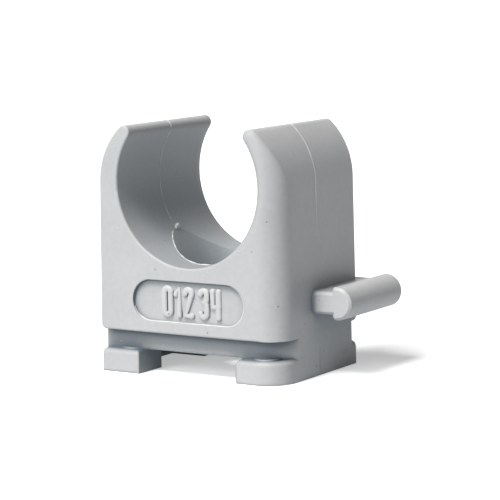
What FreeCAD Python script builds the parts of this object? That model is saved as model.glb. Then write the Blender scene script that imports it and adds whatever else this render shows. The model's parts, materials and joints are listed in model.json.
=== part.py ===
import FreeCAD, Part
import math
import os
import re
import Sketcher

# A snap-in conduit clip, injection moulded in one piece.
# The origin is the centre of the conduit seat. +X points to the side with the linking key,
# +Y along the conduit to the back, +Z up and out of the mouth.

SIZES = {
    # the conduit and the seat that grips it
    "conduit_diameter": 16.0,
    "seat_clearance": 0.1,
    "seat_height": 19.0,
    "clip_depth": 15.2,
    # the two spring arms
    "arm_wall": 2.1,
    "arm_offset": 2.85,
    "tip_radius": 0.7,
    # the block under them
    "base_flare": 0.28,
    "turning_radius": 2.8,
    # the grooves that the lips of a rail fill, front and back
    "foot_height": 2.35,
    "groove_height": 1.9,
    "groove_depth": 1.15,
    "core_turn_radius": 4.0,
    "core_turn_inset": 3.75,
    "ledge_corner_radius": 0.6,
    # the feet and the hollow between them
    "plain_foot_width": 4.55,
    "turning_foot_width": 5.05,
    "foot_depth": 4.0,
    "foot_edge_radius": 0.45,
    "skirt_wall": 1.1,
    # the low bumps on the feet that press on the rail
    "bump_radius": 1.5,
    "bump_height": 0.15,
    "plain_bump_offset": 7.4,
    "turning_bump_offset": 7.9,
    "bump_inset": 1.9,
    # the funnel and hole for a screw
    "funnel_radius": 4.5,
    "funnel_half_angle": 30.5,
    "funnel_rise": 3.9,
    "shank_radius": 2.3,
    # the linking key on one side and its slot in the other
    "key_height": 7.4,
    "key_neck_height": 2.2,
    "key_neck_length": 2.15,
    "key_head_lip": 0.53,
    "key_head_flat": 0.53,
    "key_head_round": 0.4,
    "key_front": 1.3,
    "key_overhang": 1.8,
    "key_end_bevel": 0.25,
    "slot_clearance": 0.15,
    # the sunk plate on the front face
    "plate_length": 12.95,
    "plate_height": 4.15,
    "plate_centre_height": 7.5,
    "plate_depth": 0.35,
    # the soft edge round the seat and the tips, front and back
    "rim_radius": 0.2,
    # how far a cutting outline runs past the face that it opens
    "overrun": 1.0,
}

DERIVED = {
    "seat_radius": "conduit_diameter / 2 + seat_clearance",
    "side_at_seat": "seat_radius + arm_wall",
    "side_at_base": "side_at_seat + base_flare",
    "front": "clip_depth / 2",
    "side_length": "sqrt(seat_height ^ 2 + base_flare ^ 2)",
    "arm_radius": "(side_at_seat - arm_offset) * seat_height / side_length",
    "arm_start": "arm_radius * base_flare / side_length",
    "ceiling": "side_at_seat",
    "foot_top": "foot_height - seat_height",
    "key_level": "key_height - seat_height",
    "side_at_key": "side_at_base - base_flare * key_height / seat_height",
    "plate_level": "plate_centre_height - seat_height",
    "core_turn_x": "side_at_base - core_turn_inset",
    "core_front": "front - groove_depth",
    "funnel_slope": "tan(funnel_half_angle)",
    "funnel_foot": "-seat_radius - (funnel_radius - shank_radius) / funnel_slope",
}

doc = FreeCAD.newDocument("ConduitClip")
sheet = doc.addObject("Spreadsheet::Sheet", "Sizes")
for row, (name, size) in enumerate(SIZES.items(), start=1):
    sheet.set(f"A{row}", name)
    sheet.set(f"B{row}", str(size))
    sheet.setAlias(f"B{row}", name)
doc.recompute()


def bound(expression):
    """Writes an expression of sizes as one that refers to the cells of the sheet."""
    def replaced(match):
        word = match.group()
        if word in DERIVED:
            return f"({bound(DERIVED[word])})"
        return f"Sizes.{word}" if word in SIZES else word
    return re.sub(r"[a-z_]+", replaced, expression)


def number(expression):
    """The present value of an expression of sizes."""
    return float(sheet.evalExpression(bound(expression)))


def sketch_on(body, role, name, lift="0"):
    """A sketch on one of the body's own origin planes, lifted along the plane's normal."""
    sketch = body.newObject("Sketcher::SketchObject", name)
    plane = next(item for item in body.Origin.OriginFeatures if item.Role == role)
    sketch.AttachmentSupport = [(plane, "")]
    sketch.MapMode = "FlatFace"
    sketch.setExpression("AttachmentOffset.Base.z", bound(lift))
    return sketch


def hold(sketch, kind, places, expression):
    """A dimension of the sketch that follows the sheet."""
    index = sketch.addConstraint(Sketcher.Constraint(kind, *places, number(expression)))
    sketch.setExpression(f"Constraints[{index}]", bound(expression))


def hold_point(sketch, side, end, x, y):
    hold(sketch, "DistanceX", (-1, 1, side, end), x)
    hold(sketch, "DistanceY", (-1, 1, side, end), y)


def arc(centre, start, end):
    """The arc about a centre that runs counterclockwise from start to end."""
    first = math.atan2(start.y - centre.y, start.x - centre.x)
    last = math.atan2(end.y - centre.y, end.x - centre.x)
    circle = Part.Circle(centre, FreeCAD.Vector(0, 0, 1), centre.distanceToPoint(start))
    return Part.ArcOfCircle(circle, first, last if last > first else last + math.tau)


def outline(sketch, corners):
    """A closed outline. A corner is (x, y), with ("left" or "right", x, y) behind it when the
    side that leaves it turns that way about a centre, and all of them are expressions."""
    points = [FreeCAD.Vector(number(corner[0]), number(corner[1]), 0) for corner in corners]
    ends = []
    for corner, start, end in zip(corners, points, points[1:] + points[:1]):
        turn, *middle = corner[2] if len(corner) > 2 else ("straight",)
        if turn == "straight":
            side = sketch.addGeometry(Part.LineSegment(start, end))
        else:
            centre = FreeCAD.Vector(number(middle[0]), number(middle[1]), 0)
            run = (start, end) if turn == "left" else (end, start)
            side = sketch.addGeometry(arc(centre, *run))
        ends.append((side, 2, 1) if turn == "right" else (side, 1, 2))
    for (side, _, last), (follower, first, _) in zip(ends, ends[1:] + ends[:1]):
        sketch.addConstraint(Sketcher.Constraint("Coincident", side, last, follower, first))
    for corner, (side, first, _) in zip(corners, ends):
        hold_point(sketch, side, first, corner[0], corner[1])
    for corner, (side, _, _), start, end in zip(corners, ends, points, points[1:] + points[:1]):
        if len(corner) > 2:
            _, x, y = corner[2]
            flat = abs(end.x - start.x) > abs(end.y - start.y)
            hold(sketch, "DistanceY" if flat else "DistanceX", (-1, 1, side, 3), y if flat else x)


def circle_at(sketch, x, y, radius):
    centre = FreeCAD.Vector(number(x), number(y), 0)
    ring = Part.Circle(centre, FreeCAD.Vector(0, 0, 1), number(radius))
    side = sketch.addGeometry(ring)
    hold(sketch, "Radius", (side,), radius)
    hold_point(sketch, side, 3, x, y)


def feature(body, kind, name, sketch, **settings):
    """A pad, pocket or groove made from a sketch. A text setting is an expression of sizes."""
    made = body.newObject(f"PartDesign::{kind}", name)
    made.Profile = sketch
    for key, setting in settings.items():
        if isinstance(setting, str) and key != "Type":
            made.setExpression(key, bound(setting))
        else:
            setattr(made, key, setting)
    sketch.Visibility = False
    doc.recompute()
    return made


def turned_copy(body, name, *originals):
    """A copy of features turned half a turn about the vertical axis."""
    pattern = body.newObject("PartDesign::PolarPattern", name)
    pattern.Originals = list(originals)
    axis = next(item for item in body.Origin.OriginFeatures if item.Role == "Z_Axis")
    pattern.Axis = (axis, [""])
    pattern.Angle = 360
    pattern.Occurrences = 2
    body.Tip = pattern
    doc.recompute()
    return pattern


def lies_on(edge, **planes):
    """Whether an edge lies in each of the planes that are named, such as z="foot_top"."""
    points = [vertex.Point for vertex in edge.Vertexes] + [edge.CenterOfMass]
    return all(math.isclose(getattr(point, axis), number(level), abs_tol=1e-4)
               for point in points for axis, level in planes.items())


def eased(body, kind, name, size, chosen):
    """A fillet or chamfer on the edges of the body's present shape that the test picks."""
    base = body.Tip
    picked = [f"Edge{i}" for i, edge in enumerate(base.Shape.Edges, start=1) if chosen(edge)]
    easing = body.newObject(f"PartDesign::{kind}", name)
    easing.Base = (base, picked)
    easing.setExpression("Radius" if kind == "Fillet" else "Size", bound(size))
    doc.recompute()


def block(body):
    """The block that everything is cut from: its sides lean in towards the arms."""
    profile = sketch_on(body, "XZ_Plane", "BlockProfile")
    side_at_top = "(side_at_seat - base_flare * ceiling / seat_height)"
    outline(profile, [
        ("-side_at_base", "-seat_height"),
        ("side_at_base", "-seat_height"),
        (side_at_top, "ceiling"),
        (f"-{side_at_top}", "ceiling"),
    ])
    feature(body, "Pad", "Block", profile, Midplane=True, Length="clip_depth")


def opening(body):
    """The seat, the mouth and the outside of the arms: each tip is an arc that touches the
    seat and the outside of its arm."""
    seat, tip = number("seat_radius"), number("tip_radius")
    offset, arm = number("arm_offset"), number("arm_radius")
    # the tip's centre is seat + tip from the seat's centre and arm - tip from the arm's centre
    tip_x = ((seat + tip) ** 2 - (arm - tip) ** 2 + offset ** 2) / (2 * offset)
    tip_z = math.sqrt((seat + tip) ** 2 - tip_x ** 2)
    tip_centre = FreeCAD.Vector(tip_x, tip_z, 0)
    arm_centre = FreeCAD.Vector(offset, 0, 0)
    start_x = "arm_offset + arm_radius * seat_height / side_length"
    start = FreeCAD.Vector(number(start_x), number("arm_start"), 0)
    crown = arm_centre + (tip_centre - arm_centre) * (arm / (arm - tip))
    lip = tip_centre * (seat / (seat + tip))

    def mirrored(point):
        return FreeCAD.Vector(-point.x, point.y, 0)

    sketch = sketch_on(body, "XZ_Plane", "OpeningProfile")
    right_arm = sketch.addGeometry(arc(arm_centre, start, crown))
    right_tip = sketch.addGeometry(arc(tip_centre, crown, lip))
    seat_arc = sketch.addGeometry(arc(FreeCAD.Vector(0, 0, 0), mirrored(lip), lip))
    left_tip = sketch.addGeometry(arc(mirrored(tip_centre), mirrored(lip), mirrored(crown)))
    left_arm = sketch.addGeometry(arc(mirrored(arm_centre), mirrored(crown), mirrored(start)))
    for one, one_end, other, other_end in (
            (right_arm, 2, right_tip, 1), (right_tip, 2, seat_arc, 2),
            (seat_arc, 1, left_tip, 1), (left_tip, 2, left_arm, 1)):
        sketch.addConstraint(Sketcher.Constraint("Tangent", one, one_end, other, other_end))
    sketch.addConstraint(Sketcher.Constraint("Coincident", seat_arc, 3, -1, 1))
    hold(sketch, "Radius", (seat_arc,), "seat_radius")
    hold(sketch, "Radius", (right_tip,), "tip_radius")
    hold(sketch, "Radius", (left_tip,), "tip_radius")
    hold(sketch, "Radius", (right_arm,), "arm_radius")
    hold(sketch, "Radius", (left_arm,), "arm_radius")
    hold_point(sketch, right_arm, 3, "arm_offset", "0")
    hold_point(sketch, left_arm, 3, "-arm_offset", "0")
    hold(sketch, "DistanceY", (-1, 1, right_arm, 1), "arm_start")
    hold(sketch, "DistanceY", (-1, 1, left_arm, 2), "arm_start")

    # outside the arms the cut runs past the block on both sides and over the top
    outer = "(side_at_base + overrun)"
    over = "ceiling + overrun"
    frame = [(start_x, "arm_start"), (outer, "arm_start"), (outer, over),
             (f"-{outer}", over), (f"-{outer}", "arm_start"), (f"-({start_x})", "arm_start")]
    points = [FreeCAD.Vector(number(x), number(z), 0) for x, z in frame]
    lines = [sketch.addGeometry(Part.LineSegment(a, b)) for a, b in zip(points, points[1:])]
    for line, follower in zip(lines, lines[1:]):
        sketch.addConstraint(Sketcher.Constraint("Coincident", line, 2, follower, 1))
    for line, (x, z) in zip(lines, frame[1:-1]):
        hold_point(sketch, line, 2, x, z)
    sketch.addConstraint(Sketcher.Constraint("Coincident", lines[0], 1, right_arm, 1))
    sketch.addConstraint(Sketcher.Constraint("Coincident", lines[-1], 2, left_arm, 2))
    feature(body, "Pocket", "Opening", sketch, Type="ThroughAll", Midplane=True)


def grooves(body):
    """A groove for the rail's lip across the front, open at the left. The core behind it turns
    back into the right side. The same groove crosses the back, turned half a turn."""
    sketch = sketch_on(body, "XY_Plane", "GrooveOutline", "foot_top")
    outer = "(side_at_base + overrun)"
    turn = ("core_turn_x", "-core_front + core_turn_radius")
    outline(sketch, [
        (f"-{outer}", "-front - overrun"),
        (outer, "-front - overrun"),
        (outer, turn[1]),
        ("core_turn_x + core_turn_radius", turn[1], ("right", *turn)),
        ("core_turn_x", "-core_front"),
        (f"-{outer}", "-core_front"),
    ])
    groove = feature(body, "Pocket", "Groove", sketch, Reversed=True, Length="groove_height")
    turned_copy(body, "BothGrooves", groove)


def ledge_corners(body):
    """The block and the feet are rounded where a groove runs out at the plain corner."""
    def at_open_end(edge):
        middle = edge.CenterOfMass
        level = lies_on(edge, z="foot_top") or lies_on(edge, z="foot_top + groove_height")
        at_side = abs(middle.x) > number("side_at_seat")
        return level and at_side and middle.x * middle.y > 0 and abs(middle.y) > number("core_front")

    eased(body, "Fillet", "LedgeCorners", "ledge_corner_radius", at_open_end)


def face_rims(body):
    """The soft edge round the front and back faces, which runs on over the arms."""
    def plain_corner(edge):
        middle = edge.CenterOfMass
        upright = abs(edge.tangentAt(edge.FirstParameter).z) > 0.9
        flat = lies_on(edge, y="front") or lies_on(edge, y="-front")
        at_side = flat and middle.x * middle.y > 0 and abs(middle.x) > number("seat_radius")
        return upright and at_side and middle.z > number("foot_top")

    eased(body, "Fillet", "FaceRims", "rim_radius", plain_corner)


def turning_corners(body):
    """Two opposite upright corners are rounded wide, so that the clip can turn in a rail. The
    cut leans with the side, so that its round stays tangent to it all the way up."""
    sketch = sketch_on(body, "XY_Plane", "TurningOutline", "-seat_height")
    centre = ("side_at_base - turning_radius", "-front + turning_radius")
    outer = "(side_at_base + overrun)"
    outline(sketch, [
        (centre[0], "-front", ("left", *centre)),
        ("side_at_base", centre[1]),
        (outer, centre[1]),
        (outer, "-front - overrun"),
        (centre[0], "-front - overrun"),
    ])
    corner = feature(body, "Pocket", "TurningCorner", sketch, UseCustomVector=True,
                     AlongSketchNormal=True, Length="seat_height + ceiling + overrun")
    corner.setExpression("Direction.x", bound("-base_flare"))
    corner.setExpression("Direction.y", "0")
    corner.setExpression("Direction.z", bound("seat_height"))
    doc.recompute()
    turned_copy(body, "TurningCorners", corner)


def hollow(body):
    """The hollow under the core: a passage between the feet from front to back, with a bay at
    each side behind a thin skirt."""
    sketch = sketch_on(body, "XY_Plane", "HollowOutline", "-seat_height")
    plain = "side_at_base - plain_foot_width"
    turning = "side_at_base - turning_foot_width"
    bay = "side_at_base - skirt_wall"
    half = [
        (f"-({plain})", "-front - overrun"),
        (f"-({plain})", "-front + foot_depth"),
        (f"-({bay})", "-front + foot_depth"),
        (f"-({bay})", "front - foot_depth"),
        (f"-({turning})", "front - foot_depth"),
        (f"-({turning})", "front + overrun"),
    ]
    outline(sketch, half + [(f"-({x})", f"-({y})") for x, y in half])
    feature(body, "Pocket", "Hollow", sketch, Reversed=True, Length="foot_height")


def foot_rims(body):
    """The feet are rounded round the top, in front and towards the passage between them."""
    def foot_rim(edge):
        middle = edge.CenterOfMass
        ahead = abs(middle.y) > number("core_front + groove_depth / 4")
        return lies_on(edge, z="foot_top") and ahead and abs(middle.x) < number("side_at_seat")

    eased(body, "Fillet", "FootRims", "foot_edge_radius", foot_rim)


def screw_hole(body):
    """A funnel in the bottom of the seat for the screw's head, and the hole below it."""
    sketch = sketch_on(body, "XZ_Plane", "ScrewHoleProfile")
    outline(sketch, [
        ("0", "-seat_height - overrun"),
        ("shank_radius", "-seat_height - overrun"),
        ("shank_radius", "funnel_foot"),
        ("funnel_radius + funnel_rise * funnel_slope", "-seat_radius + funnel_rise"),
        ("0", "-seat_radius + funnel_rise"),
    ])
    feature(body, "Groove", "ScrewHole", sketch, ReferenceAxis=(sketch, ["V_Axis"]), Angle=360)


def key_profile(sketch, start, gap):
    """The neck and head of the key, seen along the conduit, from the side face at start.
    The gap widens it all round for the slot."""
    neck = f"(key_neck_height / 2 + {gap})"
    head = f"(key_neck_height / 2 + key_head_lip + {gap})"
    inner = f"({start} + key_neck_length - {gap})"
    round_x = f"{inner} + key_head_round"
    nose_x = f"{inner} + key_head_flat + {gap}"
    inset = f"({head} - key_head_round)"
    outline(sketch, [
        (f"{start} - overrun", f"key_level - {neck}"),
        (inner, f"key_level - {neck}"),
        (inner, f"key_level - {inset}", ("left", round_x, f"key_level - {inset}")),
        (round_x, f"key_level - {head}"),
        (nose_x, f"key_level - {head}", ("left", nose_x, "key_level")),
        (nose_x, f"key_level + {head}"),
        (round_x, f"key_level + {head}", ("left", round_x, f"key_level + {inset}")),
        (inner, f"key_level + {inset}"),
        (inner, f"key_level + {neck}"),
        (f"{start} - overrun", f"key_level + {neck}"),
    ])


def key(body):
    """The key on the right side, with a neck and a round head, which runs out past the back."""
    sketch = sketch_on(body, "XZ_Plane", "KeyProfile", "key_front")
    key_profile(sketch, "side_at_key", "0")
    feature(body, "Pad", "Key", sketch, Reversed=True, Length="key_front + front + key_overhang")


def key_ends(body):
    """The ends of the key's neck and head are bevelled, so that it finds its slot."""
    def key_end(edge):
        at_end = lies_on(edge, y="-key_front") or lies_on(edge, y="front + key_overhang")
        outside = edge.CenterOfMass.x > number("side_at_key + 0.1 * key_neck_length")
        return at_end and outside

    eased(body, "Chamfer", "KeyEnds", "key_end_bevel", key_end)


def slot(body):
    """The slot in the left side takes the key of the next clip, from the back."""
    sketch = sketch_on(body, "XZ_Plane", "SlotProfile", "key_front + slot_clearance")
    key_profile(sketch, "-side_at_key", "slot_clearance")
    feature(body, "Pocket", "Slot", sketch, Length="key_front + slot_clearance + front + overrun")


def plate(body):
    """A shallow plate with round ends, sunk in the front face."""
    sketch = sketch_on(body, "XZ_Plane", "PlateOutline", "front")
    reach = "(plate_length / 2 - plate_height / 2)"
    low, high = "plate_level - plate_height / 2", "plate_level + plate_height / 2"
    outline(sketch, [
        (f"-{reach}", low),
        (reach, low, ("left", reach, "plate_level")),
        (reach, high),
        (f"-{reach}", high, ("left", f"-{reach}", "plate_level")),
    ])
    feature(body, "Pocket", "Plate", sketch, Length="plate_depth")


def bumps(body):
    """A low round bump on top of each foot, half under the core."""
    sketch = sketch_on(body, "XY_Plane", "BumpOutlines", "foot_top")
    circle_at(sketch, "-plain_bump_offset", "-front + bump_inset", "bump_radius")
    circle_at(sketch, "turning_bump_offset", "-front + bump_inset", "bump_radius")
    front_bumps = feature(body, "Pad", "Bumps", sketch, Length="bump_height")
    turned_copy(body, "AllBumps", front_bumps)


def conduit_clip():
    body = doc.addObject("PartDesign::Body", "ConduitClip")
    body.Label = "conduit_clip"
    for step in (block, opening, grooves, ledge_corners, face_rims, turning_corners, hollow,
                 foot_rims, screw_hole, key, key_ends, slot, plate, bumps):
        step(body)
    return body


clip = conduit_clip()
doc.recompute()
for item in doc.Objects:
    faults = [word for word in item.State if word in ("Invalid", "Error")]
    if faults:
        raise RuntimeError(f"{item.Name} failed: {faults}")
if clip.Shape.isNull() or not clip.Shape.isValid():
    raise RuntimeError(f"{clip.Label} has no valid shape")
os.makedirs("parts", exist_ok=True)
clip.Shape.exportStep(f"parts/{clip.Label}.step")
box = clip.Shape.BoundBox
print(f"{clip.Label}: {len(clip.Shape.Solids)} solid, volume {clip.Shape.Volume:.1f}")
print(f"{box.XLength:.2f} x {box.YLength:.2f} x {box.ZLength:.2f}")
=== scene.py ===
"""The finish of a moulded conduit clip: its plastic, mould marks and raised figures, and a
plain studio round it."""

import json
import math

import bmesh
import bpy
from mathutils import Matrix, Vector


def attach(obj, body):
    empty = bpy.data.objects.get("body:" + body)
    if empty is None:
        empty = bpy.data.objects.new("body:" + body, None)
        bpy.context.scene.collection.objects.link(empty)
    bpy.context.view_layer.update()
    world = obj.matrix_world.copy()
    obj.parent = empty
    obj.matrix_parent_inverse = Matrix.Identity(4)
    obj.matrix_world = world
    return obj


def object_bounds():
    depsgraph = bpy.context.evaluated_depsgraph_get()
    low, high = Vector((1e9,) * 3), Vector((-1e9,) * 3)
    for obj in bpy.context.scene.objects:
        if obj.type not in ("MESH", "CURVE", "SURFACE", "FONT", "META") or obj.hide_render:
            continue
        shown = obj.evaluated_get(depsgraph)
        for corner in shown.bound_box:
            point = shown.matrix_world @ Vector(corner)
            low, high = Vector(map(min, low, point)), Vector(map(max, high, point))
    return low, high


bl_info = {
    "name": "Moulded conduit clip",
    "version": (1, 0, 0),
    "blender": (4, 5, 0),
    "location": "View3D > Sidebar > Conduit Clip",
    "description": "Finishes a moulded conduit clip and lights it in a plain studio",
    "category": "Object",
}

MM = 0.001
JOIN = 0.0005 * MM
SEED = 3
CLIP = "conduit_clip"
BODY = "root"
PLASTIC = "Matt Grey Plastic"
# the raised figures wear a lighter copy of the plastic: painted light on their strokes
RAISED = "Raised Plastic"
# the seam, nib and flash are whitened where drawn out thin; on the plate's lip the same plastic is
# a painted highlight
WHITENED = "Whitened Plastic"

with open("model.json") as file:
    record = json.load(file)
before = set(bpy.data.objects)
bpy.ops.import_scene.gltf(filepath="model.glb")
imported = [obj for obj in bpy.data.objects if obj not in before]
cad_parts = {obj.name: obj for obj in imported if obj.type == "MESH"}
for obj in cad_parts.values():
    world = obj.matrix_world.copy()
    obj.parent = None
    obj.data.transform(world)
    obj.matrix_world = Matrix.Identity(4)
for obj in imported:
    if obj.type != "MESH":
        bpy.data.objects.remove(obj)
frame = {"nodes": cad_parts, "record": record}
CAD_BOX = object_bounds()
MOUNTS = {mount["name"]: mount for mount in frame["record"]["mounts"]}
SEAT_RADIUS = MOUNTS["conduit_seat"]["dims"]["r_mm"] * MM
BASE_LEVEL = CAD_BOX[0].z
FRONT = CAD_BOX[0].y
SIDE = -CAD_BOX[0].x
FOOT_TOP = BASE_LEVEL + 2.35 * MM
GROOVE_TOP = FOOT_TOP + 1.9 * MM

# how open the plastic is to the air where its painted shade starts, and where the painted shade is
# full
OPEN, CLOSED = 0.94, 0.35
# how open the plastic is where the painted shade in the grooves and on the feet starts, and where
# it is full
NEAR_OPEN, NEAR_CLOSED = 0.96, 0.5
# how far a surface's direction is leant towards the sky before its openness is measured for the
# painted shade
LEAN = 0.5
# the part of the painted shade that the key has
KEY_SHADE = 0.25
# the part of the painted shade that the whitened and highlighted plastic has, and how much crisper
# thin pieces are
WHITENED_SHADE = 0.6
CRISPER = 5
DARK_CLOUD = (0.2, 0.22, 0.24, 1)
LIGHT_CLOUD = (1, 1, 0.98, 1)
CLOUD_WEIGHT, SPOT_WEIGHT = 1.6, 1.2
PIT_COLOUR, PIT_STRENGTH = (0.12, 0.12, 0.12, 1), 0.6
SPECK_COLOUR, SPECK_STRENGTH = (0.9, 0.9, 0.9, 1), 0.45
# a cell holds a pit if its random number is over the first, a speck if it is under the second
PITTED, SPECKED = 0.87, 0.25
# how far a fleck stands out or in, where its radius is 1
FLECK_RISE = 0.3
# the part of a ridge's length that thins out towards an end, and how thin the end is
TAPER, THIN_END = 0.1, 0.3
# the pitch of a narrow figure, where a wide one has 1
NARROW = 0.8
# the width of the camera's picture plane in millimetres
SENSOR = 36
WARM, COOL, SKY = (1, 0.997, 0.99), (0.92, 0.97, 1), (0.96, 0.98, 1, 1)


class PlasticSettings(bpy.types.PropertyGroup):
    colour: bpy.props.FloatVectorProperty(
        name="Colour", description="Colour of the moulded plastic",
        subtype="COLOR", size=4, min=0, max=1, default=(0.59, 0.588, 0.59, 1))
    roughness: bpy.props.FloatProperty(
        name="Roughness", description="Roughness of the matt moulded surface",
        min=0, max=1, default=0.42)
    edge_radius: bpy.props.FloatProperty(
        name="Edge Radius", description="How soft the moulded edges look",
        subtype="DISTANCE", default=0.16 * MM)
    corner_radius: bpy.props.FloatProperty(
        name="Corner Radius", description="How soft the edges on the two wide corners look",
        subtype="DISTANCE", default=1.1 * MM)
    foot_radius: bpy.props.FloatProperty(
        name="Foot Radius", description="How soft the edges of the feet look",
        subtype="DISTANCE", default=0.5 * MM)
    # whitened on the seam, nib and flash; a painted highlight on the plate's lip
    whitened_colour: bpy.props.FloatVectorProperty(
        name="Whitened Colour", description="Colour of the plastic where it is drawn out thin",
        subtype="COLOR", size=4, min=0, max=1, default=(0.8, 0.8, 0.79, 1))
    # painted light: the figures' strokes are made lighter than the plastic
    raised_colour: bpy.props.FloatVectorProperty(
        name="Raised Colour", description="Colour of the plastic on the raised figures",
        subtype="COLOR", size=4, min=0, max=1, default=(0.68, 0.675, 0.67, 1))
    # painted shade: the plastic is darkened towards this colour where it is closed in
    recess_colour: bpy.props.FloatVectorProperty(
        name="Recess Colour", description="Colour that the plastic nears deep in its recesses",
        subtype="COLOR", size=4, min=0, max=1, default=(0.14, 0.177, 0.205, 1))
    recess_shade: bpy.props.FloatProperty(
        name="Recess Shade", description="How far the recesses go to their own colour",
        min=0, max=1, default=0.97)
    recess_reach: bpy.props.FloatProperty(
        name="Recess Reach", description="How near a wall must be to shade the plastic",
        subtype="DISTANCE", default=20 * MM)
    # painted shade in the grooves and on the feet, where walls stand near
    crevice_reach: bpy.props.FloatProperty(
        name="Crevice Reach", description="How near a wall must be to shade the grooves and feet",
        subtype="DISTANCE", default=2.4 * MM)
    mottle: bpy.props.FloatProperty(
        name="Mottle", description="How much the tone of the plastic wanders",
        min=0, max=1, default=0.09)
    mottle_size: bpy.props.FloatProperty(
        name="Mottle Size", description="Size of the clouds in the tone",
        subtype="DISTANCE", default=7 * MM)
    spot_size: bpy.props.FloatProperty(
        name="Spot Size", description="Size of the fine spots in the tone",
        subtype="DISTANCE", default=0.55 * MM)
    wave_size: bpy.props.FloatProperty(
        name="Wave Size", description="Size of the soft unevenness of the mould",
        subtype="DISTANCE", default=1.1 * MM)
    wave_height: bpy.props.FloatProperty(
        name="Wave Height", description="Height of the soft unevenness",
        subtype="DISTANCE", default=0.006 * MM)
    grain_size: bpy.props.FloatProperty(
        name="Grain Size", description="Size of the eroded mould's grain",
        subtype="DISTANCE", default=0.09 * MM)
    grain_height: bpy.props.FloatProperty(
        name="Grain Height", description="Height of the grain",
        subtype="DISTANCE", default=0.003 * MM)
    fleck_spacing: bpy.props.FloatProperty(
        name="Fleck Spacing", description="Width of the cells that may hold a pit or a speck",
        subtype="DISTANCE", default=0.75 * MM)
    fleck_size: bpy.props.FloatProperty(
        name="Fleck Size", description="Radius of the pits and specks",
        subtype="DISTANCE", default=0.12 * MM)


class MarkSettings(bpy.types.PropertyGroup):
    seam_radius: bpy.props.FloatProperty(
        name="Seam Radius", description="Radius of the ridge that the mould's joint leaves",
        subtype="DISTANCE", default=0.085 * MM)
    seam_sunk: bpy.props.FloatProperty(
        name="Seam Sunk", description="How far the ridge's middle lies under the surface",
        subtype="DISTANCE", default=0.03 * MM)
    seam_end: bpy.props.FloatProperty(
        name="Seam End", description="Level at which the ridge ends on the outside of an arm",
        subtype="DISTANCE", default=-7.0 * MM)
    seam_foot: bpy.props.FloatProperty(
        name="Seam Foot", description="Level under which the ridge shows again near the base",
        subtype="DISTANCE", default=-15.8 * MM)
    flash_radius: bpy.props.FloatProperty(
        name="Flash Radius", description="Radius of the ragged edge in front of the screw funnel",
        subtype="DISTANCE", default=0.075 * MM)
    step: bpy.props.FloatProperty(
        name="Step", description="Distance between the points of a ridge",
        subtype="DISTANCE", default=0.12 * MM)
    wander: bpy.props.FloatProperty(
        name="Wander", description="Length over which a ridge grows and fades",
        subtype="DISTANCE", default=1.6 * MM)
    lip_radius: bpy.props.FloatProperty(
        name="Lip Radius", description="Radius of the fine lip round the lower edge of the plate",
        subtype="DISTANCE", default=0.105 * MM)
    nib_radius: bpy.props.FloatProperty(
        name="Nib Radius", description="Radius of the nib where the seam meets the funnel",
        subtype="DISTANCE", default=0.22 * MM)
    nib_length: bpy.props.FloatProperty(
        name="Nib Length", description="How far the nib's middle stands off the seat",
        subtype="DISTANCE", default=0.3 * MM)
    nib_lean: bpy.props.FloatProperty(
        name="Nib Lean", description="How far the nib leans up the seam",
        subtype="DISTANCE", default=0.12 * MM)


class FigureSettings(bpy.types.PropertyGroup):
    text: bpy.props.StringProperty(
        name="Figures", description="Plain figures raised on the sunk plate",
        default="012 34")
    height: bpy.props.FloatProperty(
        name="Height", description="Height of a figure along the middle of its strokes",
        subtype="DISTANCE", default=2.55 * MM)
    width: bpy.props.FloatProperty(
        name="Width", description="Width of a figure along the middle of its strokes",
        subtype="DISTANCE", default=0.72 * MM)
    pitch: bpy.props.FloatProperty(
        name="Pitch", description="Distance from one figure to the next",
        subtype="DISTANCE", default=1.36 * MM)
    gap: bpy.props.FloatProperty(
        name="Gap", description="Extra distance at a blank",
        subtype="DISTANCE", default=0.4 * MM)
    stroke_radius: bpy.props.FloatProperty(
        name="Stroke Radius", description="Half the width of the rounded strokes",
        subtype="DISTANCE", default=0.33 * MM)
    stroke_height: bpy.props.FloatProperty(
        name="Stroke Height", description="How far the strokes stand off the plate",
        subtype="DISTANCE", default=0.27 * MM)
    stroke_fullness: bpy.props.FloatProperty(
        name="Stroke Fullness", description="1 for a round stroke, less for a flatter top",
        min=0.2, max=1, default=0.55)
    plate_depth: bpy.props.FloatProperty(
        name="Plate Depth", description="Depth of the plate under the front face",
        subtype="DISTANCE", default=0.35 * MM)
    plate_level: bpy.props.FloatProperty(
        name="Plate Level", description="Height of the plate's middle above the base",
        subtype="DISTANCE", default=7.5 * MM)
    offset: bpy.props.FloatProperty(
        name="Offset", description="How far the figures' middle lies right of the plate's",
        subtype="DISTANCE", default=0.3 * MM)


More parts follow.
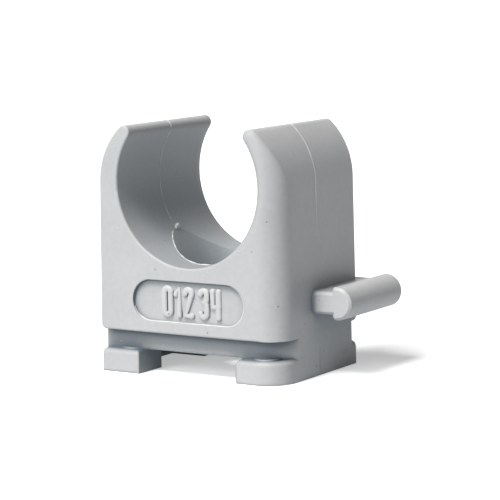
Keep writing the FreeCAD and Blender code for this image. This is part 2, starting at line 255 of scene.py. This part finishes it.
class StudioSettings(bpy.types.PropertyGroup):
    azimuth: bpy.props.FloatProperty(
        name="Azimuth", description="Direction of the camera round the clip",
        subtype="ANGLE", default=math.radians(31.783))
    elevation: bpy.props.FloatProperty(
        name="Elevation", description="Height of the camera above the horizon",
        subtype="ANGLE", default=math.radians(7.608))
    roll: bpy.props.FloatProperty(
        name="Roll", description="How far the camera is turned about its own view",
        subtype="ANGLE", default=math.radians(-0.952))
    distance: bpy.props.FloatProperty(
        name="Distance", description="Distance from the camera to what it looks at",
        subtype="DISTANCE", default=224.02 * MM)
    target: bpy.props.FloatVectorProperty(
        name="Target", description="The point that the camera looks at",
        subtype="TRANSLATION", size=3, default=(2.551 * MM, 0, -7.031 * MM))
    lens: bpy.props.FloatProperty(
        name="Lens", description="Focal length in millimetres",
        min=1, default=162.0)
    key: bpy.props.FloatProperty(
        name="Key", description="Strength of the soft light from high on the front left",
        min=0, default=2.72)
    key_from: bpy.props.FloatVectorProperty(
        name="Key From", description="Direction that the high light comes from",
        subtype="DIRECTION", size=3, default=(-0.087, -0.492, 0.866))
    front: bpy.props.FloatProperty(
        name="Front", description="Strength of the weaker light from low on the front left",
        min=0, default=1.26)
    front_from: bpy.props.FloatVectorProperty(
        name="Front From", description="Direction that the front light comes from",
        subtype="DIRECTION", size=3, default=(-0.157, -0.893, 0.423))
    back: bpy.props.FloatProperty(
        name="Back", description="Strength of the weak light from behind",
        min=0, default=0.08)
    back_from: bpy.props.FloatVectorProperty(
        name="Back From", description="Direction that the weak light comes from",
        subtype="DIRECTION", size=3, default=(-0.1, 0.7, 0.7))
    spread: bpy.props.FloatProperty(
        name="Spread", description="Angle over which each light is spread",
        subtype="ANGLE", default=math.radians(22))
    ambient: bpy.props.FloatProperty(
        name="Ambient", description="Level of the light that comes from all round",
        min=0, default=0.02)
    floor_colour: bpy.props.FloatVectorProperty(
        name="Floor", description="Colour of the floor as the camera sees it",
        subtype="COLOR", size=4, min=0, max=1, default=(1, 1, 1, 1))
    floor_bounce: bpy.props.FloatVectorProperty(
        name="Floor Bounce", description="Colour of the light that the floor sends back",
        subtype="COLOR", size=4, min=0, max=1, default=(0.58, 0.617, 0.648, 1))
    floor_glow: bpy.props.FloatProperty(
        name="Floor Glow", description="White that the camera sees on the floor beside its light",
        min=0, default=0.42)
    floor_size: bpy.props.FloatProperty(
        name="Floor Size", description="Half the width of the floor",
        subtype="DISTANCE", default=3.0)


# Shader nodes

def add(tree, kind, **settings):
    """A node of the tree, with its own settings made."""
    node = tree.nodes.new(kind)
    for name, value in settings.items():
        setattr(node, name, value)
    return node


def feed(tree, socket, source):
    """Links a source socket, or sets the socket to a plain value."""
    if isinstance(source, bpy.types.NodeSocket):
        tree.links.new(source, socket)
    else:
        socket.default_value = source


def maths(tree, operation, *sources):
    node = add(tree, "ShaderNodeMath", operation=operation)
    for socket, source in zip(node.inputs, sources):
        feed(tree, socket, source)
    return node.outputs[0]


def blended(tree, factor, first, second):
    """A colour between two others."""
    node = add(tree, "ShaderNodeMix", data_type="RGBA")
    feed(tree, node.inputs["Factor"], factor)
    feed(tree, node.inputs["A"], first)
    feed(tree, node.inputs["B"], second)
    return node.outputs["Result"]


def ramp(tree, value, start, end, first=0, last=1, interpolation_type="SMOOTHSTEP"):
    """Turns from the first number to the last while the value goes from start to end."""
    node = add(tree, "ShaderNodeMapRange", interpolation_type=interpolation_type)
    for name, source in (("Value", value), ("From Min", start), ("From Max", end),
                         ("To Min", first), ("To Max", last)):
        feed(tree, node.inputs[name], source)
    return node.outputs["Result"]


def parts_of(tree, vector):
    """The X, Y and Z of a vector."""
    node = add(tree, "ShaderNodeSeparateXYZ")
    feed(tree, node.inputs["Vector"], vector)
    return node.outputs


def own_place(tree):
    """The place of the shaded point in the clip's own space."""
    return add(tree, "ShaderNodeTexCoord").outputs["Object"]


def noise(tree, place, size, detail):
    """Soft noise whose clouds have the given size in metres."""
    node = add(tree, "ShaderNodeTexNoise")
    feed(tree, node.inputs["Vector"], place)
    feed(tree, node.inputs["Scale"], maths(tree, "DIVIDE", 1, size))
    feed(tree, node.inputs["Detail"], detail)
    return node.outputs["Fac"]


def between_sides(tree):
    """The strength of the painted shade: full on the clip, weak on the key that stands out of its
    side.
    """
    across = parts_of(tree, own_place(tree))["X"]
    return ramp(tree, across, SIDE, SIDE + 0.5 * MM, 1, KEY_SHADE)


def below(tree, top):
    """A mask of what lies lower than a level. It fades out over a short way above it."""
    return ramp(tree, parts_of(tree, own_place(tree))["Z"], top + 0.6 * MM, top + 0.2 * MM)


def wide_corners(tree):
    """A mask of the arms' two upright corners that are rounded wide, front right and back left."""
    place = parts_of(tree, own_place(tree))
    crossed = maths(tree, "MULTIPLY", place["X"], place["Y"])
    corner = ramp(tree, crossed, -0.2 * SEAT_RADIUS ** 2, -0.4 * SEAT_RADIUS ** 2)
    arms = ramp(tree, place["Z"], -SEAT_RADIUS, -SEAT_RADIUS / 2)
    return maths(tree, "MULTIPLY", corner, arms)


def leaning_up(tree):
    """The surface's direction, leant towards the sky."""
    lean = add(tree, "ShaderNodeVectorMath", operation="ADD")
    feed(tree, lean.inputs[0], add(tree, "ShaderNodeNewGeometry").outputs["Normal"])
    feed(tree, lean.inputs[1], (0, 0, LEAN))
    whole = add(tree, "ShaderNodeVectorMath", operation="NORMALIZE")
    feed(tree, whole.inputs[0], lean.outputs["Vector"])
    return whole.outputs["Vector"]


def open_air(tree, reach):
    """A node that tells how open a point is to the air within a reach: 0 closed, 1 open."""
    node = add(tree, "ShaderNodeAmbientOcclusion", samples=8, only_local=True)
    feed(tree, node.inputs["Distance"], reach)
    return node


def recess_shade(tree, given):
    """Painted shade: how far the plastic goes to its shade colour, by how closed in each point is.
    """
    far = open_air(tree, given["Recess Reach"])
    feed(tree, far.inputs["Normal"], leaning_up(tree))
    shade = ramp(tree, far.outputs["AO"], OPEN, CLOSED, interpolation_type="LINEAR")
    shade = maths(tree, "MULTIPLY", shade, given["Recess Shade"])
    shade = maths(tree, "MULTIPLY", shade, between_sides(tree))
    # painted shade in the crevices of the grooves and feet, below the groove's top
    near = open_air(tree, given["Crevice Reach"])
    crevice = ramp(tree, near.outputs["AO"], NEAR_OPEN, NEAR_CLOSED, interpolation_type="LINEAR")
    crevice = maths(tree, "MULTIPLY", crevice, below(tree, GROOVE_TOP))
    return maths(tree, "MULTIPLY_ADD", maths(tree, "SUBTRACT", 1, shade), crevice, shade)


def flecks(tree, given):
    """Masks of small pits and of small specks, strewn at random."""
    cells = add(tree, "ShaderNodeTexVoronoi")
    feed(tree, cells.inputs["Vector"], own_place(tree))
    feed(tree, cells.inputs["Scale"], maths(tree, "DIVIDE", 1, given["Fleck Spacing"]))
    split = add(tree, "ShaderNodeSeparateColor")
    feed(tree, split.inputs["Color"], cells.outputs["Color"])
    reach = maths(tree, "DIVIDE", given["Fleck Size"], given["Fleck Spacing"])
    reach = maths(tree, "MULTIPLY", reach, split.outputs["Blue"])
    inner = maths(tree, "MULTIPLY", reach, 0.6)
    near = ramp(tree, cells.outputs["Distance"], inner, reach, 1, 0)
    pitted = maths(tree, "GREATER_THAN", split.outputs["Red"], PITTED)
    specked = maths(tree, "LESS_THAN", split.outputs["Red"], SPECKED)
    return maths(tree, "MULTIPLY", near, pitted), maths(tree, "MULTIPLY", near, specked)


def moulded_surface():
    """The group that clouds moulded plastic, paints shade into its recesses and gives it waves,
    grain and flecks.
    """
    tree = bpy.data.node_groups.new("Moulded Surface", "ShaderNodeTree")
    numbers = ("Roughness", "Mottle", "Mottle Size", "Spot Size", "Wave Size", "Wave Height",
               "Grain Size", "Grain Height", "Fleck Spacing", "Fleck Size", "Recess Shade",
               "Recess Reach", "Crevice Reach")
    for name in ("Colour", "Recess Colour"):
        tree.interface.new_socket(name, in_out="INPUT", socket_type="NodeSocketColor")
    for name in numbers:
        tree.interface.new_socket(name, in_out="INPUT", socket_type="NodeSocketFloat")
    for name, kind in (("Colour", "NodeSocketColor"), ("Roughness", "NodeSocketFloat"),
                       ("Height", "NodeSocketFloat")):
        tree.interface.new_socket(name, in_out="OUTPUT", socket_type=kind)
    given = add(tree, "NodeGroupInput").outputs
    place = own_place(tree)
    pits, specks = flecks(tree, given)

    clouds = maths(tree, "SUBTRACT", noise(tree, place, given["Mottle Size"], 2), 0.5)
    spots = maths(tree, "SUBTRACT", noise(tree, place, given["Spot Size"], 3), 0.5)
    tone = maths(tree, "MULTIPLY_ADD", clouds, CLOUD_WEIGHT, 0.5)
    tone = maths(tree, "MULTIPLY_ADD", spots, SPOT_WEIGHT, tone)
    darker = blended(tree, given["Mottle"], given["Colour"], DARK_CLOUD)
    lighter = blended(tree, given["Mottle"], given["Colour"], LIGHT_CLOUD)
    colour = blended(tree, tone, darker, lighter)
    colour = blended(tree, maths(tree, "MULTIPLY", pits, PIT_STRENGTH), colour, PIT_COLOUR)
    # painted shade: the colour goes dark and blue where the plastic is closed in
    colour = blended(tree, recess_shade(tree, given), colour, given["Recess Colour"])
    colour = blended(tree, maths(tree, "MULTIPLY", specks, SPECK_STRENGTH), colour, SPECK_COLOUR)

    waves = noise(tree, place, given["Wave Size"], 2)
    grain = noise(tree, place, given["Grain Size"], 2)
    height = maths(tree, "MULTIPLY", waves, given["Wave Height"])
    height = maths(tree, "MULTIPLY_ADD", grain, given["Grain Height"], height)
    for flecked, rise in ((pits, -FLECK_RISE), (specks, FLECK_RISE)):
        stands = maths(tree, "MULTIPLY", given["Fleck Size"], rise)
        height = maths(tree, "MULTIPLY_ADD", flecked, stands, height)

    roughness = maths(tree, "MULTIPLY_ADD", clouds, given["Mottle"], given["Roughness"])
    result = add(tree, "NodeGroupOutput").inputs
    feed(tree, result["Colour"], colour)
    feed(tree, result["Roughness"], roughness)
    feed(tree, result["Height"], height)
    return tree


def plastic_material(name, surface_group, settings, **changed):
    """A matt plastic. The changed values take the place of the settings of the same name."""
    edge_radius = changed.get("edge_radius", settings.edge_radius)
    material = bpy.data.materials.new(name)
    material.use_nodes = True
    tree = material.node_tree
    shader = tree.nodes["Principled BSDF"]
    surface = add(tree, "ShaderNodeGroup", node_tree=surface_group)
    for socket in surface.inputs:
        setting = socket.name.lower().replace(" ", "_")
        socket.default_value = changed.get(setting, getattr(settings, setting))
    edges = add(tree, "ShaderNodeBevel", samples=6)
    radius = edge_radius
    for mask, wider in ((wide_corners(tree), settings.corner_radius),
                        (below(tree, FOOT_TOP), settings.foot_radius)):
        radius = maths(tree, "MULTIPLY_ADD", mask, wider - edge_radius, radius)
    feed(tree, edges.inputs["Radius"], radius)
    bump = add(tree, "ShaderNodeBump")
    feed(tree, bump.inputs["Normal"], edges.outputs["Normal"])
    bump.inputs["Distance"].default_value = 1
    feed(tree, bump.inputs["Height"], surface.outputs["Height"])
    feed(tree, shader.inputs["Base Color"], surface.outputs["Colour"])
    feed(tree, shader.inputs["Roughness"], surface.outputs["Roughness"])
    feed(tree, shader.inputs["Normal"], bump.outputs["Normal"])
    shader.inputs["IOR"].default_value = 1.49
    return material


# Geometry nodes

def geometry_tree(name, sizes):
    """A geometry tree with a named input for each size, and its input and output nodes."""
    tree = bpy.data.node_groups.new(name, "GeometryNodeTree")
    tree.interface.new_socket("Geometry", in_out="INPUT", socket_type="NodeSocketGeometry")
    for size in sizes:
        tree.interface.new_socket(size, in_out="INPUT", socket_type="NodeSocketFloat")
    tree.interface.new_socket("Geometry", in_out="OUTPUT", socket_type="NodeSocketGeometry")
    return tree, add(tree, "NodeGroupInput").outputs, add(tree, "NodeGroupOutput").inputs


def finished(tree, geometry, material, result):
    """Ends a tree in plain smooth faces that wear the material."""
    real = add(tree, "GeometryNodeRealizeInstances")
    feed(tree, real.inputs["Geometry"], geometry)
    smooth = add(tree, "GeometryNodeSetShadeSmooth")
    feed(tree, smooth.inputs["Geometry"], real.outputs["Geometry"])
    dressed = add(tree, "GeometryNodeSetMaterial")
    feed(tree, dressed.inputs["Geometry"], smooth.outputs["Geometry"])
    dressed.inputs["Material"].default_value = material
    feed(tree, result["Geometry"], dressed.outputs["Geometry"])


def grown(name, paths, tree, sizes):
    """Runs a tree on a mesh of edges and keeps what it makes as a plain piece of the clip."""
    start = bpy.data.objects.new(name, paths)
    bpy.context.collection.objects.link(start)
    modifier = start.modifiers.new(tree.name, "NODES")
    modifier.node_group = tree
    for item in tree.interface.items_tree:
        if item.in_out == "INPUT" and item.name in sizes:
            modifier[item.identifier] = sizes[item.name]
    evaluated = start.evaluated_get(bpy.context.evaluated_depsgraph_get())
    made = bpy.data.meshes.new_from_object(evaluated)
    bpy.data.objects.remove(start)
    made.name = name
    if not made.polygons:
        raise RuntimeError(f"{name} came out empty")
    piece = bpy.data.objects.new(name, made)
    bpy.context.collection.objects.link(piece)
    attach(piece, BODY)
    return piece


def bead_tree(material):
    """Beads along paths in a plane of one depth, with a round end at each open end."""
    tree, given, result = geometry_tree("Round Beads", ("Radius", "Height", "Fullness", "Depth"))
    curve = add(tree, "GeometryNodeMeshToCurve")
    feed(tree, curve.inputs["Mesh"], given["Geometry"])
    circle = add(tree, "GeometryNodeCurvePrimitiveCircle")
    circle.inputs["Resolution"].default_value = 20
    feed(tree, circle.inputs["Radius"], given["Radius"])
    bead = add(tree, "GeometryNodeCurveToMesh")
    feed(tree, bead.inputs["Curve"], curve.outputs["Curve"])
    feed(tree, bead.inputs["Profile Curve"], circle.outputs["Curve"])
    ends = add(tree, "GeometryNodeCurveEndpointSelection")
    ball = add(tree, "GeometryNodeMeshUVSphere")
    ball.inputs["Segments"].default_value = 20
    ball.inputs["Rings"].default_value = 12
    feed(tree, ball.inputs["Radius"], given["Radius"])
    balls = add(tree, "GeometryNodeInstanceOnPoints")
    feed(tree, balls.inputs["Points"], curve.outputs["Curve"])
    feed(tree, balls.inputs["Selection"], ends.outputs["Selection"])
    feed(tree, balls.inputs["Instance"], ball.outputs["Mesh"])
    join = add(tree, "GeometryNodeJoinGeometry")
    feed(tree, join.inputs["Geometry"], bead.outputs["Mesh"])
    feed(tree, join.inputs["Geometry"], balls.outputs["Instances"])
    real = add(tree, "GeometryNodeRealizeInstances")
    feed(tree, real.inputs["Geometry"], join.outputs["Geometry"])
    parts = parts_of(tree, add(tree, "GeometryNodeInputPosition").outputs["Position"])
    rise = maths(tree, "DIVIDE", parts["Y"], given["Radius"])
    full = maths(tree, "POWER", maths(tree, "ABSOLUTE", rise), given["Fullness"])
    full = maths(tree, "MULTIPLY", full, maths(tree, "SIGN", rise))
    depth = maths(tree, "MULTIPLY_ADD", full, given["Height"], given["Depth"])
    place = add(tree, "ShaderNodeCombineXYZ")
    for axis, level in (("X", parts["X"]), ("Y", depth), ("Z", parts["Z"])):
        feed(tree, place.inputs[axis], level)
    shaped = add(tree, "GeometryNodeSetPosition")
    feed(tree, shaped.inputs["Geometry"], real.outputs["Geometry"])
    feed(tree, shaped.inputs["Position"], place.outputs["Vector"])
    finished(tree, shaped.outputs["Geometry"], material, result)
    return tree


def tapered(tree):
    """A factor that falls off towards both ends of a curve."""
    along = add(tree, "GeometryNodeSplineParameter").outputs["Factor"]
    nearer = maths(tree, "MINIMUM", along, maths(tree, "SUBTRACT", 1, along))
    return ramp(tree, nearer, 0, TAPER, THIN_END, 1)


def ridge_tree(material):
    """A fine ridge along the path, whose height comes and goes."""
    sizes = ("Radius", "Step", "Wander", "Thinnest", "Thickest")
    tree, given, result = geometry_tree("Fine Ridge", sizes)
    curve = add(tree, "GeometryNodeMeshToCurve")
    feed(tree, curve.inputs["Mesh"], given["Geometry"])
    even = add(tree, "GeometryNodeResampleCurve", mode="LENGTH")
    feed(tree, even.inputs["Curve"], curve.outputs["Curve"])
    feed(tree, even.inputs["Length"], given["Step"])
    wander = add(tree, "ShaderNodeTexNoise", noise_dimensions="4D")
    wander.inputs["W"].default_value = SEED
    feed(tree, wander.inputs["Scale"], maths(tree, "DIVIDE", 1, given["Wander"]))
    thick = ramp(tree, wander.outputs["Fac"], 0.35, 0.65, given["Thinnest"], given["Thickest"],
                 interpolation_type="LINEAR")
    thick = maths(tree, "MULTIPLY", thick, tapered(tree))
    radius = add(tree, "GeometryNodeSetCurveRadius")
    feed(tree, radius.inputs["Curve"], even.outputs["Curve"])
    feed(tree, radius.inputs["Radius"], thick)
    circle = add(tree, "GeometryNodeCurvePrimitiveCircle")
    circle.inputs["Resolution"].default_value = 10
    feed(tree, circle.inputs["Radius"], given["Radius"])
    ridge = add(tree, "GeometryNodeCurveToMesh")
    feed(tree, ridge.inputs["Curve"], radius.outputs["Curve"])
    feed(tree, ridge.inputs["Profile Curve"], circle.outputs["Curve"])
    ridge.inputs["Fill Caps"].default_value = True
    feed(tree, ridge.inputs["Scale"], add(tree, "GeometryNodeInputRadius").outputs["Radius"])
    finished(tree, ridge.outputs["Mesh"], material, result)
    return tree


# Paths

def edge_mesh(name, strokes):
    """A mesh of edges only, one run of edges for each stroke of points."""
    points = [point for stroke in strokes for point in stroke]
    edges = []
    start = 0
    for stroke in strokes:
        edges += [(start + i, start + i + 1) for i in range(len(stroke) - 1)]
        start += len(stroke)
    mesh = bpy.data.meshes.new(name)
    mesh.from_pydata(points, edges, [])
    return mesh


def traced(edges, sunk, thickest):
    """A mesh of edges that follows edges of a shape, a little under its surface.

    A ridge as thick as thickest along it stays inside the clip's own box.
    """
    ends = list(dict.fromkeys(vert for edge in edges for vert in edge.verts))
    place = {vert: i for i, vert in enumerate(ends)}
    lowest, highest = [[level + side * thickest for level in corner]
                       for corner, side in zip(CAD_BOX, (1, -1))]
    points = [[min(max(level, low), high) for level, low, high
               in zip(vert.co - vert.normal * sunk, lowest, highest)] for vert in ends]
    mesh = bpy.data.meshes.new("traced_path")
    mesh.from_pydata(points, [[place[vert] for vert in edge.verts] for edge in edges], [])
    return mesh


def sliced(shape, point, direction):
    """Cuts the faces of a shape along a plane, and returns what now lies in it."""
    whole = shape.verts[:] + shape.edges[:] + shape.faces[:]
    return bmesh.ops.bisect_plane(shape, geom=whole, dist=JOIN, plane_co=point,
                                  plane_no=direction)["geom_cut"]


def off_axis(vert):
    """The distance of a vertex from the axis of the seat."""
    return math.hypot(vert.co.x, vert.co.z)


def on_seat(vert):
    return abs(off_axis(vert) - SEAT_RADIUS) < 10 * JOIN


def round_funnel(edge):
    """Whether an edge is where the screw funnel cuts the bottom of the seat."""
    low = all(on_seat(vert) and vert.co.z < -SEAT_RADIUS / 2 and abs(vert.co.y) < -0.9 * FRONT
              for vert in edge.verts)
    seats = sum(all(on_seat(vert) for vert in face.verts) for face in edge.link_faces)
    return low and seats == 1


def lower_lip(edge):
    """Whether an edge is where the front face turns into the lower or right wall of the plate."""
    if any(abs(vert.co.y - FRONT) > JOIN for vert in edge.verts):
        return False
    walls = [face.normal for face in edge.link_faces if abs(face.normal.y) < 0.1]
    return len(walls) == 1 and len(edge.link_faces) == 2 and (
        walls[0].z > 0.35 or walls[0].x < -0.3)


def carries_seam(vert, settings, lowest):
    """Whether the seam shows at a vertex: in the seat, over a tip, down an arm or at the base."""
    level = vert.co.z
    if off_axis(vert) < SEAT_RADIUS + 10 * JOIN:
        return level > lowest
    outside = abs(vert.co.x) > SEAT_RADIUS + MM
    return level > 0 or outside and (
        level > settings.seam_end - JOIN or level < settings.seam_foot + JOIN)


def bow(x, z, reach_x, reach_z, first, last):
    """Points on an ellipse about (x, z), from one angle to another, in degrees."""
    count = max(3, int(abs(last - first) / 15))
    angles = [math.radians(first + (last - first) * i / count) for i in range(count + 1)]
    return [(x + reach_x * math.cos(a), z + reach_z * math.sin(a)) for a in angles]


def figure_strokes(figure, turn):
    """The strokes of a plain figure in a unit square. The turn is the height of a round top."""
    if figure == "0":
        oval = bow(0.5, 1 - turn, 0.5, turn, 0, 180) + bow(0.5, turn, 0.5, turn, 180, 360)
        return [oval + oval[:1]]
    if figure == "1":
        return [[(0, 0.8), (0.5, 1), (0.5, 0)]]
    if figure == "2":
        return [bow(0.5, 1 - turn, 0.5, turn, 180, -30) + [(0, 0), (1, 0)]]
    if figure == "3":
        top = bow(0.5, 1 - turn, 0.5, turn, 170, 0) + bow(0.5, 0.55 + turn, 0.5, turn, 0, -90)
        low = bow(0.5, 0.55 - turn, 0.5, turn, 90, 0) + bow(0.5, turn, 0.5, turn, 0, -170)
        return [top + low[1:]]
    if figure == "4":
        return [[(0.05, 1), (0.05, 0.42), (1, 0.42)], [(0.95, 1), (0.95, 0)]]
    raise ValueError(f"there are no strokes for the figure {figure}")


class CLIP_OT_plastic(bpy.types.Operator):
    """Gives the clip its matt grey plastic"""
    bl_idname = "clip.plastic"
    bl_label = "Plastic"

    def execute(self, context):
        settings = context.scene.clip_plastic
        surface = moulded_surface()
        material = plastic_material(PLASTIC, surface, settings)
        # a lighter copy of the plastic for the figures, as painted light on their strokes
        plastic_material(RAISED, surface, settings, colour=settings.raised_colour,
                         edge_radius=settings.edge_radius / CRISPER)
        plastic_material(WHITENED, surface, settings, colour=settings.whitened_colour,
                         recess_shade=settings.recess_shade * WHITENED_SHADE,
                         edge_radius=settings.edge_radius / CRISPER)
        mesh = frame["nodes"][CLIP].data
        mesh.materials.clear()
        mesh.materials.append(material)
        return {"FINISHED"}


class CLIP_OT_marks(bpy.types.Operator):
    """Lays the mould's marks: the seam, its nib, the funnel's ragged edge and the plate's lip"""
    bl_idname = "clip.marks"
    bl_label = "Mould Marks"

    def execute(self, context):
        settings = context.scene.clip_marks
        shape = bmesh.new()
        shape.from_mesh(frame["nodes"][CLIP].data)
        bmesh.ops.remove_doubles(shape, verts=shape.verts, dist=JOIN)
        sliced(shape, (0, 0, settings.seam_end), (0, 0, 1))
        sliced(shape, (0, 0, settings.seam_foot), (0, 0, 1))
        cut = sliced(shape, (0, 0, 0), (0, 1, 0))
        shape.normal_update()
        rim = [edge for edge in shape.edges if round_funnel(edge)]
        if not rim:
            raise RuntimeError("the funnel's edge wasn't found")
        corner = min((vert.co.copy() for edge in rim for vert in edge.verts if vert.co.x < 0),
                     key=lambda point: abs(point.y))
        up_seat = Vector((corner.z, 0, -corner.x)).normalized()
        off_seat = Vector((-corner.x, 0, -corner.z)).normalized()
        seam = [item for item in cut if isinstance(item, bmesh.types.BMEdge)
                and all(carries_seam(vert, settings, corner.z) for vert in item.verts)]
        front_rim = [edge for edge in rim if all(vert.co.y < JOIN for vert in edge.verts)]
        lip = [edge for edge in shape.edges if lower_lip(edge)]
        # on the plate's lip this whitened plastic is a painted highlight
        material = bpy.data.materials[WHITENED]
        ridge = ridge_tree(material)
        for name, edges, sunk, radius, thinnest, thickest, wander in (
                ("mould_seam", seam, settings.seam_sunk, settings.seam_radius, 0.45, 1.1,
                 settings.wander),
                ("funnel_flash", front_rim, 0, settings.flash_radius, 0.2, 1.4,
                 settings.wander / 3),
                ("plate_lip", lip, -settings.lip_radius / 2, settings.lip_radius, 0.7, 1,
                 settings.wander)):
            grown(name, traced(edges, sunk, thickest * radius), ridge,
                  {"Radius": radius, "Step": settings.step, "Wander": wander,
                   "Thinnest": thinnest, "Thickest": thickest})
        shape.free()
        tip = corner + off_seat * settings.nib_length + up_seat * settings.nib_lean
        grown("seam_nib", edge_mesh("nib_path", [[corner, tip]]), bead_tree(material),
              {"Radius": settings.nib_radius, "Height": settings.nib_radius, "Fullness": 1,
               "Depth": 0})
        return {"FINISHED"}


class CLIP_OT_figures(bpy.types.Operator):
    """Raises plain figures on the sunk plate"""
    bl_idname = "clip.figures"
    bl_label = "Raised Figures"

    def execute(self, context):
        settings = context.scene.clip_figures
        turn = settings.width / 2 / settings.height
        strokes = []
        reach = 0
        for figure in settings.text:
            if figure == " ":
                reach += settings.gap
                continue
            strokes += [[(reach + x * settings.width, z * settings.height) for x, z in stroke]
                        for stroke in figure_strokes(figure, turn)]
            reach += settings.pitch * (NARROW if figure == "1" else 1)
        width = reach - settings.pitch + settings.width
        left = settings.offset - width / 2
        low = BASE_LEVEL + settings.plate_level - settings.height / 2
        placed = [[(left + x, 0, low + z) for x, z in stroke] for stroke in strokes]
        grown("plate_figures", edge_mesh("figure_paths", placed),
              bead_tree(bpy.data.materials[RAISED]),
              {"Radius": settings.stroke_radius, "Height": settings.stroke_height,
               "Fullness": settings.stroke_fullness, "Depth": FRONT + settings.plate_depth})
        return {"FINISHED"}


class CLIP_OT_studio(bpy.types.Operator):
    """Sets up the floor, the lights and the camera"""
    bl_idname = "clip.studio"
    bl_label = "Studio"

    def execute(self, context):
        settings = context.scene.clip_studio
        floor(settings)
        surroundings(context.scene, settings)
        for name, source, strength, colour in (
                ("Key Light", settings.key_from, settings.key, WARM),
                ("Front Light", settings.front_from, settings.front, WARM),
                ("Back Light", settings.back_from, settings.back, COOL)):
            soft_light(name, source, strength, settings.spread, colour)
        context.scene.camera = camera(settings)
        context.scene.view_settings.view_transform = "Standard"
        return {"FINISHED"}


def floor(settings):
    half = settings.floor_size
    mesh = bpy.data.meshes.new("floor")
    corners = [(-half, -half), (half, -half), (half, half), (-half, half)]
    mesh.from_pydata([(x, y, BASE_LEVEL) for x, y in corners], [], [(0, 1, 2, 3)])
    piece = bpy.data.objects.new("floor", mesh)
    bpy.context.collection.objects.link(piece)
    material = bpy.data.materials.new("Pale Floor")
    material.use_nodes = True
    tree = material.node_tree
    shader = tree.nodes["Principled BSDF"]
    shader.inputs["Roughness"].default_value = 1
    shader.inputs["Specular IOR Level"].default_value = 0
    seen = seen_rays(tree)
    colour = blended(tree, seen, tuple(settings.floor_bounce), tuple(settings.floor_colour))
    feed(tree, shader.inputs["Base Color"], colour)
    shader.inputs["Emission Color"].default_value = tuple(settings.floor_colour)
    glow = maths(tree, "MULTIPLY", seen, settings.floor_glow)
    feed(tree, shader.inputs["Emission Strength"], glow)
    mesh.materials.append(material)


def seen_rays(tree):
    """1 for what the camera sees, straight or in a gloss, and 0 for the light that bounces."""
    path = add(tree, "ShaderNodeLightPath").outputs
    gloss = maths(tree, "MAXIMUM", path["Is Glossy Ray"], path["Is Transmission Ray"])
    return maths(tree, "MAXIMUM", path["Is Camera Ray"], gloss)


def surroundings(scene, settings):
    world = bpy.data.worlds.new("Pale Surroundings")
    world.use_nodes = True
    scene.world = world
    tree = world.node_tree
    light = tree.nodes["Background"]
    light.inputs["Color"].default_value = SKY
    light.inputs["Strength"].default_value = settings.ambient
    white = add(tree, "ShaderNodeBackground")
    white.inputs["Color"].default_value = tuple(settings.floor_colour)
    mix = add(tree, "ShaderNodeMixShader")
    feed(tree, mix.inputs[0], seen_rays(tree))
    feed(tree, mix.inputs[1], light.outputs["Background"])
    feed(tree, mix.inputs[2], white.outputs["Background"])
    feed(tree, tree.nodes["World Output"].inputs["Surface"], mix.outputs[0])


def soft_light(name, source, strength, spread, colour):
    """A broad light from the direction of source, spread over an angle."""
    lamp = bpy.data.lights.new(name, "SUN")
    lamp.energy = strength
    lamp.angle = spread
    lamp.color = colour
    holder = bpy.data.objects.new(name, lamp)
    bpy.context.collection.objects.link(holder)
    holder.rotation_mode = "QUATERNION"
    holder.rotation_quaternion = Vector(source).to_track_quat("Z", "Y")


def camera(settings):
    """The camera at its azimuth and elevation round the target, turned by its roll."""
    data = bpy.data.cameras.new("Camera")
    data.lens = settings.lens
    data.sensor_width = SENSOR
    data.clip_start = 10 * MM
    data.clip_end = 10
    holder = bpy.data.objects.new("Camera", data)
    bpy.context.collection.objects.link(holder)
    level = math.cos(settings.elevation)
    back = Vector((math.sin(settings.azimuth) * level, -math.cos(settings.azimuth) * level,
                   math.sin(settings.elevation)))
    right = Vector((math.cos(settings.azimuth), math.sin(settings.azimuth), 0))
    right = Matrix.Rotation(settings.roll, 3, back) @ right
    axes = Matrix((right, back.cross(right), back)).transposed().to_4x4()
    place = Vector(settings.target) + back * settings.distance
    holder.matrix_world = Matrix.Translation(place) @ axes
    return holder


class CLIP_PT_panel(bpy.types.Panel):
    """Lists the steps that finish the clip"""
    bl_idname = "CLIP_PT_panel"
    bl_label = "Conduit Clip"
    bl_space_type = "VIEW_3D"
    bl_region_type = "UI"
    bl_category = "Conduit Clip"

    def draw(self, context):
        for operator, settings in STEPS:
            box = self.layout.box()
            box.operator(operator.bl_idname)
            group = getattr(context.scene, settings)
            for name in group.bl_rna.properties.keys():
                if name not in ("rna_type", "name"):
                    box.prop(group, name)


STEPS = (
    (CLIP_OT_plastic, "clip_plastic"),
    (CLIP_OT_marks, "clip_marks"),
    (CLIP_OT_figures, "clip_figures"),
    (CLIP_OT_studio, "clip_studio"),
)
SETTINGS = {
    "clip_plastic": PlasticSettings,
    "clip_marks": MarkSettings,
    "clip_figures": FigureSettings,
    "clip_studio": StudioSettings,
}


def register():
    for name, group in SETTINGS.items():
        bpy.utils.register_class(group)
        setattr(bpy.types.Scene, name, bpy.props.PointerProperty(type=group))
    for operator, _ in STEPS:
        bpy.utils.register_class(operator)
    bpy.utils.register_class(CLIP_PT_panel)


def unregister():
    bpy.utils.unregister_class(CLIP_PT_panel)
    for operator, _ in reversed(STEPS):
        bpy.utils.unregister_class(operator)
    for name, group in SETTINGS.items():
        delattr(bpy.types.Scene, name)
        bpy.utils.unregister_class(group)


def main():
    register()
    bpy.ops.clip.plastic()
    bpy.ops.clip.marks()
    bpy.ops.clip.figures()
    bpy.ops.clip.studio()


if __name__ == "__main__":
    main()
